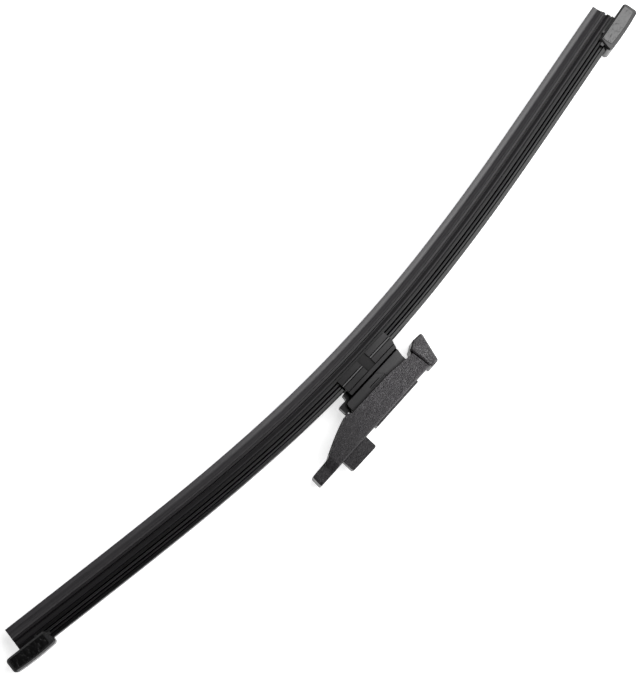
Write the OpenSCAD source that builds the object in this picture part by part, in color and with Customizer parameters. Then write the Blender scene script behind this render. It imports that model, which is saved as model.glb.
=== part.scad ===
// Flat-spring wiper blade for a rear window, lying on its side as it rests on a table.
// X runs along the blade, towards the end where the arm comes from. Y points away from the
// glass, towards the arm. Z is the width of the blade. Inside the modules the origin is the
// lip's tip at mid-length, h is the height over the lip's tip and s the way along the bow.

/* [Blade] */
// Length of the rubber along its lip
blade_len = 330; // [280:1:420]

/* [Bow of the unloaded blade] */
// Radius of the middle run, at the lip
mid_radius = 530; // [430:1:700]
// Half length of the middle run
mid_len = 46; // [36:1:56]
// Radius of the next run on each side
outer_radius = 850; // [690:1:1200]
// Length of that run
outer_len = 46; // [36:1:56]
// Radius of the last curved run before the straight ends
tip_radius = 2600; // [2100:10:4000]
// Length of that run
tip_len = 32; // [26:1:40]

/* [Rubber section, heights] */
// Height of the wiping lip
lip_h = 1.7; // [1.4:0.05:2.1]
// Height of the hollow flank
flank_h = 2.8; // [2.3:0.05:3.4]
// Height of the shoulder
shoulder_h = 1.0; // [0.8:0.05:1.3]
// Height of the thin tilting web
web_h = 0.65; // [0.5:0.05:0.8]
// Height of the lower flange
keel_h = 1.75; // [1.4:0.05:2.1]
// Height of the groove over the lower flange
groove_h = 0.25; // [0.2:0.05:0.4]
// Height of the rail bed's flange
ledge_h = 1.1; // [0.9:0.05:1.4]
// Height of the slot's mouth for a spring rail
slot_h = 1.8; // [1.7:0.05:2.2]
// Height of the flange over the slot
cap_flange_h = 0.8; // [0.65:0.05:1]
// Height of the key's neck
key_neck_h = 0.75; // [0.6:0.05:0.9]
// Height of the key's head
key_head_h = 0.4; // [0.3:0.05:0.5]

/* [Rubber section, widths] */
// Width of the wiping edge
lip_w = 0.8; // [0.6:0.05:1]
// Width where the lip meets the flank
lip_root_w = 1.0; // [0.8:0.05:1.2]
// Width of the shoulder
shoulder_w = 4.4; // [3.6:0.1:5.2]
// Width of the tilting web
web_w = 1.1; // [0.9:0.05:1.3]
// Width of the lower flange
keel_w = 5.8; // [4.8:0.1:6.6]
// Bevel at the lower flange's foot
keel_bevel = 0.5; // [0.3:0.05:0.7]
// Width of the rail bed's flange
ledge_w = 7.2; // [6.6:0.1:7.8]
// Depth of the groove under the rail bed's flange
groove_depth = 1.6; // [1.3:0.05:1.9]
// Width of the core between the rails
core_w = 2.2; // [1.8:0.1:2.6]
// Depth of the slot's flat bed, before its mouth flares
slot_bed = 1.0; // [0.8:0.05:1.2]
// Width of the flange over the slot
cap_flange_w = 7.4; // [6.8:0.1:8]
// Width of the key's neck
key_neck_w = 1.4; // [1.1:0.1:1.7]
// Width of the key's head
key_head_w = 3.0; // [2.5:0.1:3.6]

/* [Spring rails] */
// Thickness of a rail
rail_t = 0.9; // [0.75:0.05:1.1]
// Width of a rail
rail_w = 3.6; // [3:0.1:4.3]
// How far a rail runs past the rubber's end
rail_past = 0.5; // [0.3:0.1:0.9]

/* [Back strip] */
// Width of the strip
strip_w = 8.4; // [7:0.1:10]
// Height of the strip
strip_h = 1.4; // [1.3:0.05:1.7]
// Chamfer along the strip's outer edges
strip_edge = 0.35; // [0.2:0.05:0.5]
// How far the strip ends before the rubber's end
strip_in = 1; // [0.5:0.1:2]

/* [End caps] */
// How far a cap reaches over the rubber, on the lip's side
cap_grip = 11; // [9:0.5:13]
// How much further the cap's mouth reaches on the back
cap_mouth_rake = 2.2; // [1.4:0.1:2.8]
// How far a cap runs past the rubber's end
cap_past = 6.5; // [5.4:0.1:7.6]
// Half width of a cap
cap_half = 6.4; // [6.2:0.1:7.6]
// Thickness of a cap over the back strip, at both ends of the cap
cap_back_t = 1.8; // [1.4:0.05:2.3]
// How far a cap's back is crowned at its middle
cap_crown = 0.45; // [0.2:0.05:0.7]
// Thickness of a cap's hooks under the rails
cap_hook_t = 0.3; // [0.25:0.05:0.5]
// Corner radius at a cap's outer end
cap_corner = 1.4; // [1:0.1:1.8]
// Chamfer round a cap's side faces
cap_chamfer = 0.7; // [0.4:0.05:0.9]
// Height of the raised panel on a cap's side
cap_panel_t = 0.25; // [0.15:0.05:0.4]
// Flat border between the chamfer and the panel, on the mouth's and the lip's side
cap_border = 0.1; // [0.05:0.05:0.4]
// Flat border on the back and at the outer end
cap_back_border = 0.6; // [0.4:0.05:0.9]
// Length of the snap lug that shows in a cap's mouth
cap_lug = 1.7; // [1:0.1:2.2]
// Thickness of the snap lug
cap_lug_t = 0.8; // [0.6:0.05:1]
// Height of the snap lug over the rail's lower face
cap_lug_rise = 0.85; // [0.6:0.05:1]
// Height of the snap lug
cap_lug_h = 1.3; // [1:0.05:1.5]
// Size of the square catch on a cap's lip side
cap_catch = 0.9; // [0.7:0.05:1.2]
// Distance from the mouth to the catch
cap_catch_in = 2.9; // [2:0.1:4]
// How far the catch stands out
cap_catch_out = 0.7; // [0.4:0.05:0.9]

/* [Clamp base] */
// Reach of the base from mid-length towards the nose
base_nose = 13.4; // [11.6:0.1:16]
// Reach of the base from mid-length towards the tail
base_tail = 12.4; // [10.8:0.1:15]
// How far the base's nose end leans back beside its roof
base_slant = 1.05; // [0.6:0.05:1.4]
// Wall beside the rails
base_wall = 1.0; // [0.85:0.05:1.2]
// Thickness of the hooks under the rails
hook_t = 0.45; // [0.35:0.05:0.55]
// Thickness of the base over the key
base_roof_t = 3.15; // [2.7:0.05:3.7]
// Length of one gripping pad
pad_len = 10.7; // [9:0.1:11.6]
// How far a gripping pad stands out
pad_t = 0.6; // [0.4:0.05:0.8]
// Distance from each end of the base to its gripping pad
pad_in = 0.05; // [0.05:0.05:0.6]
// Plain band between the gripping pads and the strip along the upper edge
pad_gap = 0.35; // [0.25:0.05:0.6]
// Height of one of the two grooves in a gripping pad
score_h = 0.35; // [0.25:0.05:0.45]
// Height of the fine rib between the two grooves
score_rib = 0.5; // [0.35:0.05:0.6]
// Height of the strip along the base's upper edge
rim_h = 1.45; // [1.15:0.05:1.7]
// How far that strip stands out over the base's side
rim_t = 0.45; // [0.3:0.05:0.6]
// Depth of the dark recess under the ears
neck_in = 0.7; // [0.5:0.05:0.85]
// Height of that recess
neck_h = 0.7; // [0.55:0.05:0.9]
// Half width over the ears
ear_out = 5.5; // [5.1:0.1:5.8]
// Half width between the ears
ear_in = 3.4; // [3:0.1:3.8]
// How far the ear's foot stays inside the base's nose end
ear_nose_in = 1.05; // [0.9:0.05:1.6]
// How far the ear's foot reaches past the base's tail end
ear_tail_past = 3.8; // [3:0.1:4.4]
// Radius of the corner between the ear's foot and its tail side
ear_corner = 0.9; // [0.6:0.1:1.2]
// Thickness of the pad on the ear's tail half
ear_pad_t = 0.3; // [0.2:0.05:0.4]
// Place of the pad's corner over the ear's foot, towards the tail
ear_pad_x = 0.3; // [-1:0.1:1.5]
// Length of the slanted edge's fall along the blade, and its height
ear_pad_slant = 2.2; // [1.6:0.1:2.8]
// Length of the ledge on the ear's pad
ledge_len = 7.2; // [6:0.1:8.4]
// Height of the ledge
ledge_t = 0.45; // [0.3:0.05:0.6]
// How far the ledge stands out over the pad
ledge_out = 0.15; // [0.1:0.01:0.17]
// Height of the ledge over the ear's foot
ledge_over_foot = 2.45; // [2:0.05:2.9]
// Length of the fine groove along the ledge
mark_len = 5.3; // [4:0.1:6]
// Height of that groove
mark_h = 0.3; // [0.2:0.05:0.4]
// Radius of the ear round the pin
ear_eye = 3.6; // [3.2:0.1:4]
// Depth of the ear's nose shoulder under the pin's centre
ear_shoulder = 1.6; // [1.3:0.1:2]
// Depth of the ear's tail shoulder under the pin's centre
ear_tail_shoulder = 3.4; // [3:0.1:4]
// How far the ear steps in over its foot, on the nose side
ear_step = 0.6; // [0.4:0.1:0.8]
// How far the ear leans out over its foot, on the tail side
ear_flare = 0.5; // [0.3:0.1:0.8]
// Reach of the stop toe past the base's tail end
toe_len = 6.25; // [5.2:0.05:7]
// Height of the toe's tip over the base
toe_rise = 3.5; // [2.8:0.1:4]
// Depth of the toe's tip under the base's upper face
toe_drop = 0.4; // [0.2:0.05:0.6]
// Length of the toe's root, over the back strip
toe_root = 1.9; // [1.5:0.1:2.4]
// Half width of the stop toe
toe_half = 3.0; // [2.4:0.1:3.2]

/* [Pivot] */
// Height of the pin over the clamp base
pivot_over_base = 8.15; // [7.2:0.05:9.6]
// Diameter of the pin
pin_d = 4; // [3:0.1:4.4]

/* [Arm adapter] */
// Gap between the ears' eyes and the roof
roof_gap = 1.05; // [0.8:0.05:1.5]
// Rise of the roof for each millimetre towards the tail
roof_slope = 0.0175; // [0.01:0.0005:0.03]
// Thickness of the roof
roof_t = 1.4; // [1.1:0.05:1.6]
// Radius of the roof's long edges
roof_edge = 0.9; // [0.6:0.1:1.1]
// Thickness of a cheek
cheek_t = 1.2; // [0.9:0.05:1.5]
// Depth of the cheek under the pin's centre
cheek_drop = 3.4; // [2.8:0.05:3.7]
// Place where the cheek's lower edge starts to rise towards the nose
cheek_bend = 3; // [1:0.1:5]
// Rise of that edge for each millimetre
cheek_slope = 0.1; // [0.06:0.005:0.12]
// Length of the step from the cheek's lower edge down to the heel
heel_ramp = 1.5; // [1.2:0.1:2]
// Length of the heel's own edge
heel_edge = 0.6; // [0.4:0.1:0.9]
// Distance from the ear's foot to the cheeks' end on the nose side
cheek_nose_gap = 2.65; // [2.3:0.05:3.2]
// Lean of the cheeks' end on the nose side, from the lower edge to the roof
cheek_lean = 0.7; // [0:0.1:1.2]
// Thickness of the bulkhead between the nose and the ears
bulkhead_t = 2.1; // [1.6:0.1:2.2]
// Distance from the base's tail end to the cheek's heel
heel_gap = 6.9; // [6.3:0.1:8]
// Depth of the cheek's heel under the pin's centre
heel_drop = 4.8; // [4.3:0.1:5.4]
// Length of the belly from the heel to the tail
belly_len = 16.9; // [16:0.1:20]
// Share of the belly's curve that is an arc, beside a straight rise
belly_ease = 0.3; // [0.1:0.05:0.6]
// Length of the tail
tail_len = 9; // [7.5:0.1:11]
// Height of the tail
tail_h = 5.1; // [4.2:0.1:6]
// Rise of the tail's underside towards its end
tail_rise = 0.4; // [0.2:0.05:0.6]
// Length over which the cheeks draw in to the tail's width
waist_len = 3.8; // [3:0.1:4.8]
// Half width of the tail
tail_half = 5.2; // [4.4:0.1:6.2]
// Length of the bead at the tail's end
tail_bead = 0.45; // [0.3:0.05:0.6]
// Width of the groove beside that bead
bead_groove = 0.55; // [0.4:0.05:0.8]
// Depth of that groove
bead_t = 0.3; // [0.2:0.05:0.4]
// How far the nose stands out over the cheeks
nose_past = 0.95; // [0.8:0.05:1.4]
// Length of the nose at its foot, from the groove
nose_len = 7.5; // [6.4:0.1:8.6]
// Depth of the nose's foot under the pin's centre
nose_drop = 5.4; // [4.7:0.1:5.9]
// Rake of the nose's front, from its foot to its top
nose_rake = 3.3; // [2.7:0.1:4]
// Length of the nose's sloping underside, from the groove to the foot
nose_chin = 3.2; // [2.7:0.1:3.8]
// Rise of that slope
nose_chin_rise = 1.7; // [1.3:0.1:2]
// Height of the nose's top over the roof
nose_rise = 0.9; // [0.65:0.05:1.2]
// Chamfer round the nose's side faces
nose_chamfer = 0.6; // [0.4:0.05:0.8]
// Radius under the bulkhead
chin_r = 2.4; // [2:0.1:2.9]
// Outer radius of the clip that holds the pin
hub_r = 3.9; // [3.5:0.1:4.3]
// Half width of the clip's mouth for each millimetre of the pin's radius
hub_mouth = 0.84; // [0.7:0.01:0.9]
// Thickness of a cross rib under the roof
rib_t = 1; // [0.8:0.1:1.2]
// Depth of a cross rib under the roof
rib_h = 1.8; // [1.4:0.1:2.2]
// Length of the latch block
latch_len = 12.8; // [11:0.1:14.7]
// Distance from the heel to the latch block
latch_gap = 0.45; // [0.3:0.05:0.8]
// Height of the latch block over the roof
latch_h = 5.3; // [4.2:0.1:6.4]
// Half width of the latch block
latch_half = 3.1; // [2.5:0.1:3.7]
// Width of the slits beside the latch block's tongue
slit_w = 0.5; // [0.4:0.05:0.6]
// Reach of the tongue past the latch block
tongue_past = 1.8; // [1.4:0.1:2.2]
// Thickness of the raised plate on the roof
plate_t = 0.75; // [0.6:0.05:0.9]
// Length of the raised plate
plate_len = 22.9; // [20:0.1:25]
// Half width of the raised plate
plate_half = 5; // [4:0.1:5.8]
// Distance between the tongue and the raised plate
plate_gap = 3.75; // [3.2:0.05:4.4]

/* [Clearances] */
// Clearance of the pieces that slide or snap over the rails
fit = 0.15; // [0.1:0.01:0.2]
// Gap between neighbours that don't touch
seat_gap = 0.3; // [0.25:0.01:0.36]
// Radial clearance of the clip on the pin
pin_run = 0.06; // [0.04:0.01:0.09]
// Radial clearance of the pin in the ears
pin_seat = 0.01; // [0.01:0.005:0.02]
// Gap between the ears and the cheeks, and between the ears and the clip
cheek_gap = 0.25; // [0.2:0.01:0.32]

/* [Hidden] */

rubber_black = [0.10, 0.10, 0.11];
steel_black = [0.20, 0.20, 0.21];
strip_grey = [0.30, 0.30, 0.32];
plastic_black = [0.17, 0.17, 0.18];
grained_black = [0.24, 0.24, 0.25];
pin_steel = [0.62, 0.62, 0.64];

// Heights of the section's levels over the lip's tip
flank_top = lip_h + flank_h;
shoulder_top = flank_top + shoulder_h;
keel_low = shoulder_top + web_h;
keel_top = keel_low + keel_h;
ledge_low = keel_top + groove_h;
slot_low = ledge_low + ledge_h;
slot_top = slot_low + slot_h;
neck_low = slot_top + cap_flange_h;
head_low = neck_low + key_neck_h;
key_top = head_low + key_head_h;
slot_mid = (slot_low + slot_top) / 2;
// Breaks of the rubber's edges, and drafts of its grooves
arris = 0.1;
draft = 0.05;

// Levels and half widths of the rails and the back strip
rail_low = slot_mid - rail_t / 2;
rail_top = slot_mid + rail_t / 2;
rail_in = core_w / 2 + fit;
rail_out = rail_in + rail_w;
strip_low = neck_low + seat_gap;
strip_top = strip_low + strip_h;

// The bow: each run has its radius and its length, and a straight run follows
bow = [[mid_radius, mid_len], [outer_radius, outer_len], [tip_radius, tip_len]];
bow_end = mid_len + outer_len + tip_len;
half_len = blade_len / 2;
// Longest step between two rings of a swept section
ring_step = 10;

// Levels and places of the base
hook_low = rail_low - fit - hook_t;
side_out = rail_out + fit + base_wall;
base_in_top = key_top + seat_gap;
base_top = base_in_top + base_roof_t;
base_len = base_nose + base_tail;
rim_low = base_top - rim_h;
pad_top = rim_low - pad_gap;
pad_places = [-base_nose + pad_in + pad_len / 2, base_tail - pad_in - pad_len / 2];
ear_low = base_top + neck_h;
ear_nose = base_nose - ear_nose_in;
ear_tail = base_tail + ear_tail_past;

// Places, half widths and heights of the adapter
pivot_h = base_top + pivot_over_base;
roof_over_pin = ear_eye + roof_gap + roof_t;
cheek_nose = ear_nose + cheek_nose_gap;
bulkhead_x = cheek_nose - bulkhead_t;
heel_x = base_tail + heel_gap;
tail_x = heel_x + belly_len;
tail_end = tail_x + tail_len;
latch_x = heel_x + latch_gap;
cheek_in = ear_out + ear_pad_t + cheek_gap;
cheek_out = cheek_in + cheek_t;
nose_half = cheek_out + nose_past;
hub_half = ear_in - cheek_gap;
pin_r = pin_d / 2;
tongue_x = latch_x - tongue_past;
plate_x = tongue_x - plate_gap - plate_len;
latch_top = roof_at(latch_x) + latch_h;

// The frame's origin: the middle of the box, at its lowest point
rest_z = max(nose_half, cap_half + cap_panel_t);
low_y = point_at(half_len)[1];
mid_y = (low_y + latch_top) / 2;

function degrees_of(length, radius) = length / radius * 180 / PI;

// Turn of the bow from mid-length to station s
function turn_at(s, i = 0, turned = 0) =
    i == len(bow) ? turned :
    s <= bow[i][1] ? turned + degrees_of(s, bow[i][0]) :
    turn_at(s - bow[i][1], i + 1, turned + degrees_of(bow[i][1], bow[i][0]));

// Place of station s on the lip's line
function point_at(s, i = 0, turned = 0, from = [0, 0]) =
    i == len(bow) ? from + s * [cos(turned), -sin(turned)] :
    let (
        run = min(s, bow[i][1]),
        next = turned + degrees_of(run, bow[i][0]),
        to = from + bow[i][0] * [sin(next) - sin(turned), cos(next) - cos(turned)]
    )
    s <= bow[i][1] ? to : point_at(s - run, i + 1, next, to);

// Place at height h over station s, which is negative on the nose side
function on_bow(s, h) =
    let (side = s < 0 ? -1 : 1, foot = point_at(abs(s)), turned = turn_at(abs(s)))
    [side * (foot[0] + h * sin(turned)), foot[1] + h * cos(turned)];

// Stations of the rings from one end to the other, with none inside the straight runs
function stations(from, to) =
    let (n = ceil(bow_end / ring_step))
    concat([from], [for (i = [-n : n]) if (i * bow_end / n > from + 1 && i * bow_end / n < to - 1)
        i * bow_end / n], [to]);

function mirrored(half) =
    concat(half, [for (i = [len(half) - 1 : -1 : 0]) [half[i][0], -half[i][1]]]);

function unit(v) = v / norm(v);

// One corner of an outline rounded to radius r
function corner(a, b, c, r, steps = 6) =
    r <= 0 ? [b] :
    let (
        u = unit(a - b), v = unit(c - b), half = acos(u * v) / 2,
        middle = b + unit(u + v) * r / sin(half),
        first = b + u * r / tan(half) - middle, last = b + v * r / tan(half) - middle,
        swing = 180 - 2 * half
    )
    [for (i = [0 : steps])
        middle + (first * sin(swing * (1 - i / steps)) + last * sin(swing * i / steps)) / sin(swing)];

// An outline whose points each hold x, y and the radius of their corner
function rounded(path) =
    let (n = len(path), p = [for (q = path) [q[0], q[1]]])
    [for (i = [0 : n - 1]) each corner(p[(i + n - 1) % n], p[i], p[(i + 1) % n], path[i][2])];

// Station where a back strip ends, just outside the base's end
function strip_end(reach) = (reach + seat_gap) * mid_radius / (mid_radius + strip_low);

function roof_at(x) = pivot_h + roof_over_pin + roof_slope * x;
function cheek_edge_at(x) = pivot_h - cheek_drop + cheek_slope * max(0, -x - cheek_bend);

// A strip of the bow between two heights, as wide as from z_low to z_high
module bowed_strip(from, to, low, high, z_low, z_high) {
    s = stations(from, to);
    translate([0, 0, z_low]) linear_extrude(z_high - z_low)
        polygon(concat(
            [for (i = [0 : len(s) - 1]) on_bow(s[i], low)],
            [for (i = [len(s) - 1 : -1 : 0]) on_bow(s[i], high)]));
}

// A section swept along the bow, given by its half widths at rising heights
module bowed_sweep(from, to, half) {
    ring = mirrored(half);
    s = stations(from, to);
    n = len(ring);
    m = len(half);
    last = n * (len(s) - 1);
    points = [for (si = s, p = ring) let (q = on_bow(si, p[0])) [q[0], q[1], p[1]]];
    sides = [for (i = [0 : len(s) - 2], j = [0 : n - 1])
        [n * i + j, n * (i + 1) + j, n * (i + 1) + (j + 1) % n, n * i + (j + 1) % n]];
    ends = [for (j = [0 : m - 2]) each [
        [j, j + 1, n - 2 - j, n - 1 - j],
        [last + n - 1 - j, last + n - 2 - j, last + j + 1, last + j]]];
    polyhedron(points, concat(sides, ends));
}

// Places its children in the local frame of a station, x along the blade and y as h
module at_station(s) {
    p = on_bow(s, 0);
    translate([p[0], p[1], 0]) rotate([0, 0, s < 0 ? turn_at(-s) : -turn_at(s)]) children();
}

// An outline in the side view, from z_low to z_high
module side_view(outline, z_low, z_high) {
    translate([0, 0, z_low]) linear_extrude(z_high - z_low) polygon(outline);
}

// An outline in the side view, as thick on both sides
module both_sides(outline, half) {
    side_view(outline, -half, half);
}

// A convex outline in the side view, chamfered round both side faces
module chamfered(outline, half, chamfer) {
    hull() {
        both_sides(outline, half - chamfer);
        translate([0, 0, -half]) linear_extrude(2 * half) offset(delta = -chamfer) polygon(outline);
    }
}

module in_frame() {
    translate([0, -mid_y, rest_z]) children();
}

// Half of the rubber's section: the lip, the hollow flank, the flanges, the slot and the key
function rubber_half() =
    let (
        rise = (shoulder_w - lip_root_w) / 2,
        flank_r = (flank_h * flank_h + rise * rise) / (2 * rise),
        swing = asin(flank_h / flank_r),
        steps = 8,
        keel_rise = 0.6 * keel_h,
        groove_in = ledge_w / 2 - groove_depth,
        bed = core_w / 2 + slot_bed
    )
    concat(
        [[0, lip_w / 2]],
        [for (i = [0 : steps]) let (a = swing * i / steps)
            [lip_h + flank_r * sin(a), lip_root_w / 2 + flank_r * (1 - cos(a))]],
        [
            [flank_top + arris, shoulder_w / 2 + arris],
            [shoulder_top - arris, shoulder_w / 2 + arris],
            [shoulder_top, shoulder_w / 2 - arris],
            [shoulder_top + draft, web_w / 2],
            [keel_low - draft, web_w / 2],
            [keel_low, keel_w / 2 - keel_bevel],
            [keel_low + keel_rise, keel_w / 2],
            [keel_top - draft, keel_w / 2],
            [keel_top, groove_in],
            [ledge_low - draft, groove_in],
            [ledge_low, ledge_w / 2 - arris],
            [ledge_low + arris, ledge_w / 2],
            [slot_low - arris, ledge_w / 2],
            [rail_low - fit, bed],
            [rail_low - fit + draft, core_w / 2],
            [rail_top + fit - draft, core_w / 2],
            [rail_top + fit, bed],
            [slot_top + arris, cap_flange_w / 2],
            [neck_low - arris, cap_flange_w / 2],
            [neck_low, key_neck_w / 2],
            [head_low, key_neck_w / 2],
            [head_low + draft, key_head_w / 2],
            [key_top, key_head_w / 2 - arris]
        ]);

module wiper_rubber() {
    color(rubber_black) in_frame() bowed_sweep(-half_len, half_len, rubber_half());
}

// The two rails are the same strip of spring steel, one in each side slot
module spring_rail(side) {
    reach = half_len + rail_past;
    color(steel_black) in_frame()
        bowed_strip(-reach, reach, rail_low, rail_top,
            side > 0 ? rail_in : -rail_out, side > 0 ? rail_out : -rail_in);
}

// The back strip slides over the rubber's key, from the base into an end cap
module back_strip(from, to) {
    half = strip_w / 2;
    color(strip_grey) in_frame() difference() {
        bowed_sweep(from, to, [
            [strip_low, half - arris], [strip_low + arris, half],
            [strip_top - strip_edge, half], [strip_top, half - strip_edge]]);
        bowed_strip(from - 1, to + 1, strip_low - 1, head_low,
            -key_neck_w / 2 - fit, key_neck_w / 2 + fit);
        bowed_strip(from - 1, to + 1, head_low - fit, key_top + fit,
            -key_head_w / 2 - fit, key_head_w / 2 + fit);
    }
}

// What a piece round the blade leaves free: the rails, and the rubber above its lower groove
module blade_room(low, high, upper_half) {
    half = max(ledge_w, cap_flange_w) / 2 + seat_gap;
    translate([low, -half]) square([rail_top + fit - low, 2 * half]);
    translate([rail_low - fit, -rail_out - fit]) square([rail_t + 2 * fit, 2 * (rail_out + fit)]);
    translate([rail_low, -upper_half]) square([high - rail_low, 2 * upper_half]);
}

// Points between two places of a back at height h, crowned at its middle
function crowned(from, to, h, rise, steps = 8) =
    [for (i = [1 : steps - 1]) let (t = i / steps)
        [from + (to - from) * t, h + 4 * rise * t * (1 - t), 0]];

// End cap in the local frame of the rubber's end, where x leads outwards
module end_cap() {
    low = rail_low - fit - cap_hook_t;
    high = strip_top + cap_back_t;
    mouth = -cap_grip;
    rim = cap_chamfer + cap_border;
    back_rim = cap_chamfer + cap_back_border;
    back_mouth = mouth - cap_mouth_rake;
    outline = rounded(concat(
        [[mouth, low, 0.4], [cap_past, low, cap_corner], [cap_past, high, cap_corner]],
        crowned(cap_past, back_mouth, high, cap_crown),
        [[back_mouth, high, cap_corner]]));
    panel = rounded(concat(
        [[mouth + rim, low + rim, 0.4], [cap_past - back_rim, low + rim, 0.8],
            [cap_past - back_rim, high - back_rim, 0.8]],
        crowned(cap_past - back_rim, mouth + rim, high - back_rim, cap_crown),
        [[mouth + rim, high - back_rim, 0.6]]));
    difference() {
        union() {
            chamfered(outline, cap_half, cap_chamfer);
            both_sides(panel, cap_half + cap_panel_t);
            for (side = [-1, 1]) mirror([0, 0, side > 0 ? 0 : 1]) {
                // Snap lug that shows in the mouth, beside the rail
                translate([mouth - cap_lug, rail_low + cap_lug_rise, rail_out + fit])
                    cube([2 * cap_lug, cap_lug_h, cap_lug_t]);
                // Catch on the lip's side
                translate([mouth + cap_catch_in, low - cap_catch_out, cap_half - cap_chamfer - cap_catch])
                    cube([cap_catch, 2 * cap_catch_out, cap_catch]);
            }
        }
        // Room for the rubber and the back strip, up to the cap's closed end
        translate([-2 * cap_grip, 0, 0]) rotate([90, 0, 90])
            linear_extrude(2 * cap_grip + rail_past + seat_gap)
                blade_room(low - 2 * cap_catch_out, strip_top + fit, strip_w / 2 + fit);
    }
}

module end_cap_at(side) {
    color(plastic_black) in_frame() mirror([side > 0 ? 0 : 1, 0, 0]) at_station(half_len) end_cap();
}

// Outline of an ear, from inside the base's roof up to the eye round the pin
module ear_outline() {
    waist = (ear_low + pivot_h - ear_shoulder) / 2;
    lean = 28;
    polygon([
        [1 - base_nose, base_in_top], [base_tail - 1, base_in_top], [base_tail - 0.1, base_top],
        [ear_tail - ear_corner, ear_low], [ear_tail, ear_low + ear_corner],
        [ear_tail + ear_flare, pivot_h - ear_tail_shoulder],
        [ear_eye * sin(lean), pivot_h + ear_eye * cos(lean)],
        [-ear_eye * sin(lean), pivot_h + ear_eye * cos(lean)],
        [-ear_nose + ear_step, pivot_h - ear_shoulder], [-ear_nose + ear_step, waist],
        [-ear_nose, ear_low], [-ear_nose, base_top]]);
    translate([0, pivot_h]) circle(ear_eye, $fn = 64);
}

// Toe that stands out past the base's tail end, between the ears
module base_toe() {
    inner = base_tail - 2 * toe_root;
    root = base_tail + toe_root;
    tip = base_tail + toe_len;
    low = strip_top + seat_gap;
    both_sides(rounded([
        [inner, low, 0], [root, low, 0.3], [root + toe_drop, base_top - toe_drop, 0.4],
        [tip, base_top - toe_drop, 0.4], [tip, base_top + toe_rise, 0.8],
        [base_tail, base_top + toe_rise - toe_drop, 0.3], [inner, ear_low - toe_drop, 0]]), toe_half);
}

// Pad on the tail half of the ear, with a slanted edge on the nose side
module ear_pad() {
    border = 0.15;
    top = pivot_h - ear_shoulder;
    nose_edge = ear_pad_x - ear_pad_slant;
    side_view(rounded([
        [ear_pad_x, ear_low + border, 0], [ear_tail - border, ear_low + border, ear_corner],
        [ear_tail + ear_flare - 2 * border, pivot_h - ear_tail_shoulder, 0],
        [ear_tail - ear_eye - border, top, 0], [nose_edge, top, 0],
        [nose_edge, ear_low + border + ear_pad_slant, 0]]),
        ear_in, ear_out + ear_pad_t);
}

module clamp_base() {
    score_low = (hook_low + pad_top - score_rib) / 2 - score_h;
    ledge_low_h = ear_low + ledge_over_foot;
    mid = bow[0];
    turned = degrees_of(max(base_nose, base_tail) + 2, mid[0]);
    color(plastic_black) in_frame() difference() {
        union() {
            // Side walls and roof over the blade
            translate([-base_nose, hook_low, -side_out])
                cube([base_len, base_top - hook_low, 2 * side_out]);
            // Strip along the upper edge
            translate([-base_nose, rim_low, -side_out - rim_t])
                cube([base_len, rim_h, 2 * (side_out + rim_t)]);
            // Gripping pads, two on each side
            for (x = pad_places)
                translate([x - pad_len / 2, hook_low, -side_out - pad_t])
                    cube([pad_len, pad_top - hook_low, 2 * (side_out + pad_t)]);
            for (side = [-1, 1]) mirror([0, 0, side > 0 ? 0 : 1]) {
                translate([0, 0, ear_in]) linear_extrude(ear_out - ear_in) ear_outline();
                ear_pad();
                // Ledge on the ear's pad
                translate([ear_pad_x - ear_pad_slant, ledge_low_h, ear_in])
                    cube([ledge_len, ledge_t, ear_out + ear_pad_t + ledge_out - ear_in]);
            }
            base_toe();
        }
        // Channel for the blade, along the bow
        translate([0, -mid[0], 0]) rotate([0, 0, 90 - turned])
            rotate_extrude(angle = 2 * turned, $fn = 720) translate([mid[0], 0])
                blade_room(hook_low - 2, base_in_top, cap_flange_w / 2 + seat_gap);
        for (side = [-1, 1]) mirror([0, 0, side > 0 ? 0 : 1]) {
            // Dark recess under the ears
            translate([-base_len, base_top, ear_out - neck_in])
                cube([2 * base_len, neck_h, neck_in + ear_pad_t + 1]);
            // Nose end of the base, leaning back beside the roof
            side_view([
                [-base_nose - 1, base_in_top], [-base_nose, base_in_top],
                [-base_nose + base_slant, base_top], [-base_nose - 1, base_top]],
                -1, side_out + pad_t + 1);
            // Two grooves in each pad, with a fine rib between them
            for (x = pad_places, y = [score_low, score_low + score_h + score_rib])
                translate([x - pad_len / 2 - 1, y, side_out])
                    cube([pad_len + 2, score_h, pad_t + 1]);
            // Fine groove along the ledge
            translate([ear_pad_x, ledge_low_h - mark_h, ear_out + ear_pad_t - ledge_out])
                cube([mark_len, mark_h, 1]);
        }
        // Bores for the pin
        translate([0, pivot_h, -ear_out - 1])
            cylinder(r = pin_r + pin_seat, h = 2 * ear_out + 2, $fn = 64);
    }
}

// The pin ends just inside the ears' outer faces, with both ends chamfered
module pivot_pin() {
    half = ear_out - 0.1;
    chamfer = 0.4;
    color(pin_steel) in_frame() translate([0, pivot_h, 0]) {
        cylinder(r = pin_r, h = 2 * (half - chamfer), center = true, $fn = 64);
        for (side = [-1, 1]) mirror([0, 0, side > 0 ? 0 : 1])
            translate([0, 0, half - chamfer])
                cylinder(r1 = pin_r, r2 = pin_r - chamfer, h = chamfer, $fn = 64);
    }
}

// Lower edge of the cheek behind the heel, easing down into the tail
function belly_at(t, low, high) =
    low + (high - low) * ((1 - belly_ease) * t + belly_ease * (1 - cos(90 * t)));

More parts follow.
